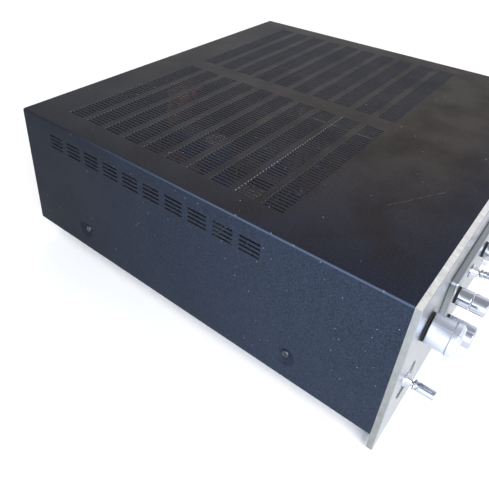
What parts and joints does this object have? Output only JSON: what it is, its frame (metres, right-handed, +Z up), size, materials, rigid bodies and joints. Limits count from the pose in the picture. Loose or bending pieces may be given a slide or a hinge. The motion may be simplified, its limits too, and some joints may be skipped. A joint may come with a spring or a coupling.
{
  "type": "stereo receiver",
  "caption": "Home stereo receiver: slotted black steel cover, thick aluminium front panel with raised control bezel, metal knobs, toggles, dial window, rear terminals and feet.",
  "frame": {"origin": "on the floor, under the middle of the whole box", "axes": "+Z up, the front panel faces -Y, +X is to the right seen from the front"},
  "size_m": [0.42, 0.4291, 0.147],
  "materials": {
    "satin_black_paint": "satin, fine texture",
    "brushed_silver_panel": "fine brushed, satin",
    "turned_aluminium": "turned, satin",
    "chrome_plate": "polished",
    "zinc_plated_steel": "zinc plated",
    "black_plastic": "matte",
    "board_laminate": "bare laminate",
    "varnished_core": "varnished steel laminations",
    "black_anodised_fins": "black anodised",
    "blue_sleeve": "shrink sleeve",
    "black_rubber": "matte",
    "clear_acrylic": "clear, polished",
    "dial_print": "printed, matte",
    "red_plastic": "semi gloss",
    "ferrite_rod": "sleeved, matte"
  },
  "bodies": {
    "receiver": {"amplifier_board": "board_laminate", "antenna_bracket": "black_plastic", "antenna_terminals": "black_plastic", "bass_control": "zinc_plated_steel", "button_switch_bank": "zinc_plated_steel", "chassis_pan": "zinc_plated_steel", "control_bezel": "brushed_silver_panel", "cord_gland": "black_plastic", "cover_screw_left_front": "zinc_plated_steel", "cover_screw_left_rear": "zinc_plated_steel", "cover_screw_right_front": "zinc_plated_steel", "cover_screw_right_rear": "zinc_plated_steel", "dial_scale": "dial_print", "dial_window": "clear_acrylic", "faceplate": "brushed_silver_panel", "filter_capacitor_1": "blue_sleeve", "filter_capacitor_2": "blue_sleeve", "foot_front_left": "black_rubber", "foot_front_right": "black_rubber", "foot_rear_left": "black_rubber", "foot_rear_right": "black_rubber", "front_subpanel": "zinc_plated_steel", "function_control": "zinc_plated_steel", "headphone_jack": "zinc_plated_steel", "heat_sink": "black_anodised_fins", "input_jack_strip": "black_plastic", "mode_switch": "zinc_plated_steel", "power_toggle_body": "zinc_plated_steel", "power_transformer": "varnished_core", "rear_panel": "zinc_plated_steel", "selector_switch": "zinc_plated_steel", "speaker_terminals": "black_plastic", "tone_toggle_body": "zinc_plated_steel", "top_cover": "satin_black_paint", "treble_control": "zinc_plated_steel", "tuner_board": "board_laminate", "tuning_capacitor_frame": "zinc_plated_steel", "volume_control": "zinc_plated_steel"},
    "selector": {"selector_knob": "turned_aluminium"},
    "bass_rear": {"bass_knob_rear": "chrome_plate"},
    "bass_front": {"bass_knob_front": "chrome_plate"},
    "treble_rear": {"treble_knob_rear": "chrome_plate"},
    "treble_front": {"treble_knob_front": "chrome_plate"},
    "mode": {"mode_knob": "chrome_plate"},
    "volume": {"volume_knob": "turned_aluminium"},
    "function": {"function_knob": "turned_aluminium"},
    "tuning": {"tuning_knob": "turned_aluminium", "tuning_flywheel": "zinc_plated_steel"},
    "drum": {"dial_drum": "black_plastic", "tuning_capacitor_rotor": "zinc_plated_steel"},
    "pointer": {"dial_pointer": "red_plastic"},
    "power_lever": {"power_toggle_lever": "chrome_plate"},
    "tone_lever": {"tone_toggle_lever": "chrome_plate"},
    "button_1": {"push_button_1": "turned_aluminium"},
    "button_2": {"push_button_2": "turned_aluminium"},
    "terminal_lever_1": {"speaker_lever_1": "black_plastic"},
    "terminal_lever_2": {"speaker_lever_2": "red_plastic"},
    "terminal_lever_3": {"speaker_lever_3": "black_plastic"},
    "terminal_lever_4": {"speaker_lever_4": "red_plastic"},
    "antenna_rod": {"rod_antenna": "ferrite_rod"}
  },
  "joints": [
    {"name": "selector_turn", "type": "hinge", "parent": "receiver", "child": "selector", "pos_m": [-0.1743, -0.19925, 0.1049], "axis": [0, 1, 0], "range_deg": [-60, 90]},
    {"name": "bass_rear_turn", "type": "hinge", "parent": "receiver", "child": "bass_rear", "pos_m": [-0.1304, -0.19875, 0.104], "axis": [0, 1, 0], "range_deg": [-150, 150]},
    {"name": "bass_front_turn", "type": "hinge", "parent": "receiver", "child": "bass_front", "pos_m": [-0.1304, -0.20875, 0.104], "axis": [0, 1, 0], "range_deg": [-150, 150]},
    {"name": "treble_rear_turn", "type": "hinge", "parent": "receiver", "child": "treble_rear", "pos_m": [-0.0644, -0.19875, 0.104], "axis": [0, 1, 0], "range_deg": [-150, 150]},
    {"name": "treble_front_turn", "type": "hinge", "parent": "receiver", "child": "treble_front", "pos_m": [-0.0644, -0.20875, 0.104], "axis": [0, 1, 0], "range_deg": [-150, 150]},
    {"name": "mode_turn", "type": "hinge", "parent": "receiver", "child": "mode", "pos_m": [-0.1304, -0.20375, 0.0733], "axis": [0, 1, 0], "range_deg": [-60, 60]},
    {"name": "volume_turn", "type": "hinge", "parent": "receiver", "child": "volume", "pos_m": [0.158, -0.19875, 0.0325], "axis": [0, 1, 0], "range_deg": [-150, 150]},
    {"name": "function_turn", "type": "hinge", "parent": "receiver", "child": "function", "pos_m": [0.092, -0.19875, 0.0325], "axis": [0, 1, 0], "range_deg": [-60, 90]},
    {"name": "tuning_turn", "type": "hinge", "parent": "receiver", "child": "tuning", "pos_m": [0.16, -0.20275, 0.09], "axis": [0, 1, 0], "range_deg": [-1050, 1050]},
    {"name": "drum_turn", "type": "hinge", "parent": "receiver", "child": "drum", "pos_m": [0.06, -0.14675, 0.085], "axis": [0, 1, 0], "range_deg": [-90, 90]},
    {"name": "pointer_travel", "type": "slide", "parent": "receiver", "child": "pointer", "axis": [1, 0, 0], "range_m": [-0.055, 0.055]},
    {"name": "power_flip", "type": "hinge", "parent": "receiver", "child": "power_lever", "pos_m": [-0.1743, -0.18805, 0.0483], "axis": [1, 0, 0], "range_deg": [-12, 12]},
    {"name": "tone_flip", "type": "hinge", "parent": "receiver", "child": "tone_lever", "pos_m": [-0.0974, -0.19435, 0.104], "axis": [1, 0, 0], "range_deg": [0, 20]},
    {"name": "button_1_press", "type": "slide", "parent": "receiver", "child": "button_1", "axis": [0, 1, 0], "range_m": [0, 0.004], "stiffness_N_per_m": 300},
    {"name": "button_2_press", "type": "slide", "parent": "receiver", "child": "button_2", "axis": [0, 1, 0], "range_m": [0, 0.004], "stiffness_N_per_m": 300},
    {"name": "terminal_lever_1_press", "type": "hinge", "parent": "receiver", "child": "terminal_lever_1", "pos_m": [-0.105, 0.20945, 0.0935], "axis": [-1, 0, 0], "range_deg": [0, 12], "stiffness_Nm_per_rad": 0.05},
    {"name": "terminal_lever_2_press", "type": "hinge", "parent": "receiver", "child": "terminal_lever_2", "pos_m": [-0.09, 0.20945, 0.0935], "axis": [-1, 0, 0], "range_deg": [0, 12], "stiffness_Nm_per_rad": 0.05},
    {"name": "terminal_lever_3_press", "type": "hinge", "parent": "receiver", "child": "terminal_lever_3", "pos_m": [-0.067, 0.20945, 0.0935], "axis": [-1, 0, 0], "range_deg": [0, 12], "stiffness_Nm_per_rad": 0.05},
    {"name": "terminal_lever_4_press", "type": "hinge", "parent": "receiver", "child": "terminal_lever_4", "pos_m": [-0.052, 0.20945, 0.0935], "axis": [-1, 0, 0], "range_deg": [0, 12], "stiffness_Nm_per_rad": 0.05},
    {"name": "antenna_swing", "type": "hinge", "parent": "receiver", "child": "antenna_rod", "pos_m": [0.192, 0.20975, 0.129], "axis": [0, 0, -1], "range_deg": [0, 90]}
  ],
  "couplings": [
    {"joint": "drum_turn", "follows": "tuning_turn", "ratio": 0.0857},
    {"joint": "pointer_travel", "follows": "tuning_turn", "m_per_rad": 0.003}
  ]
}
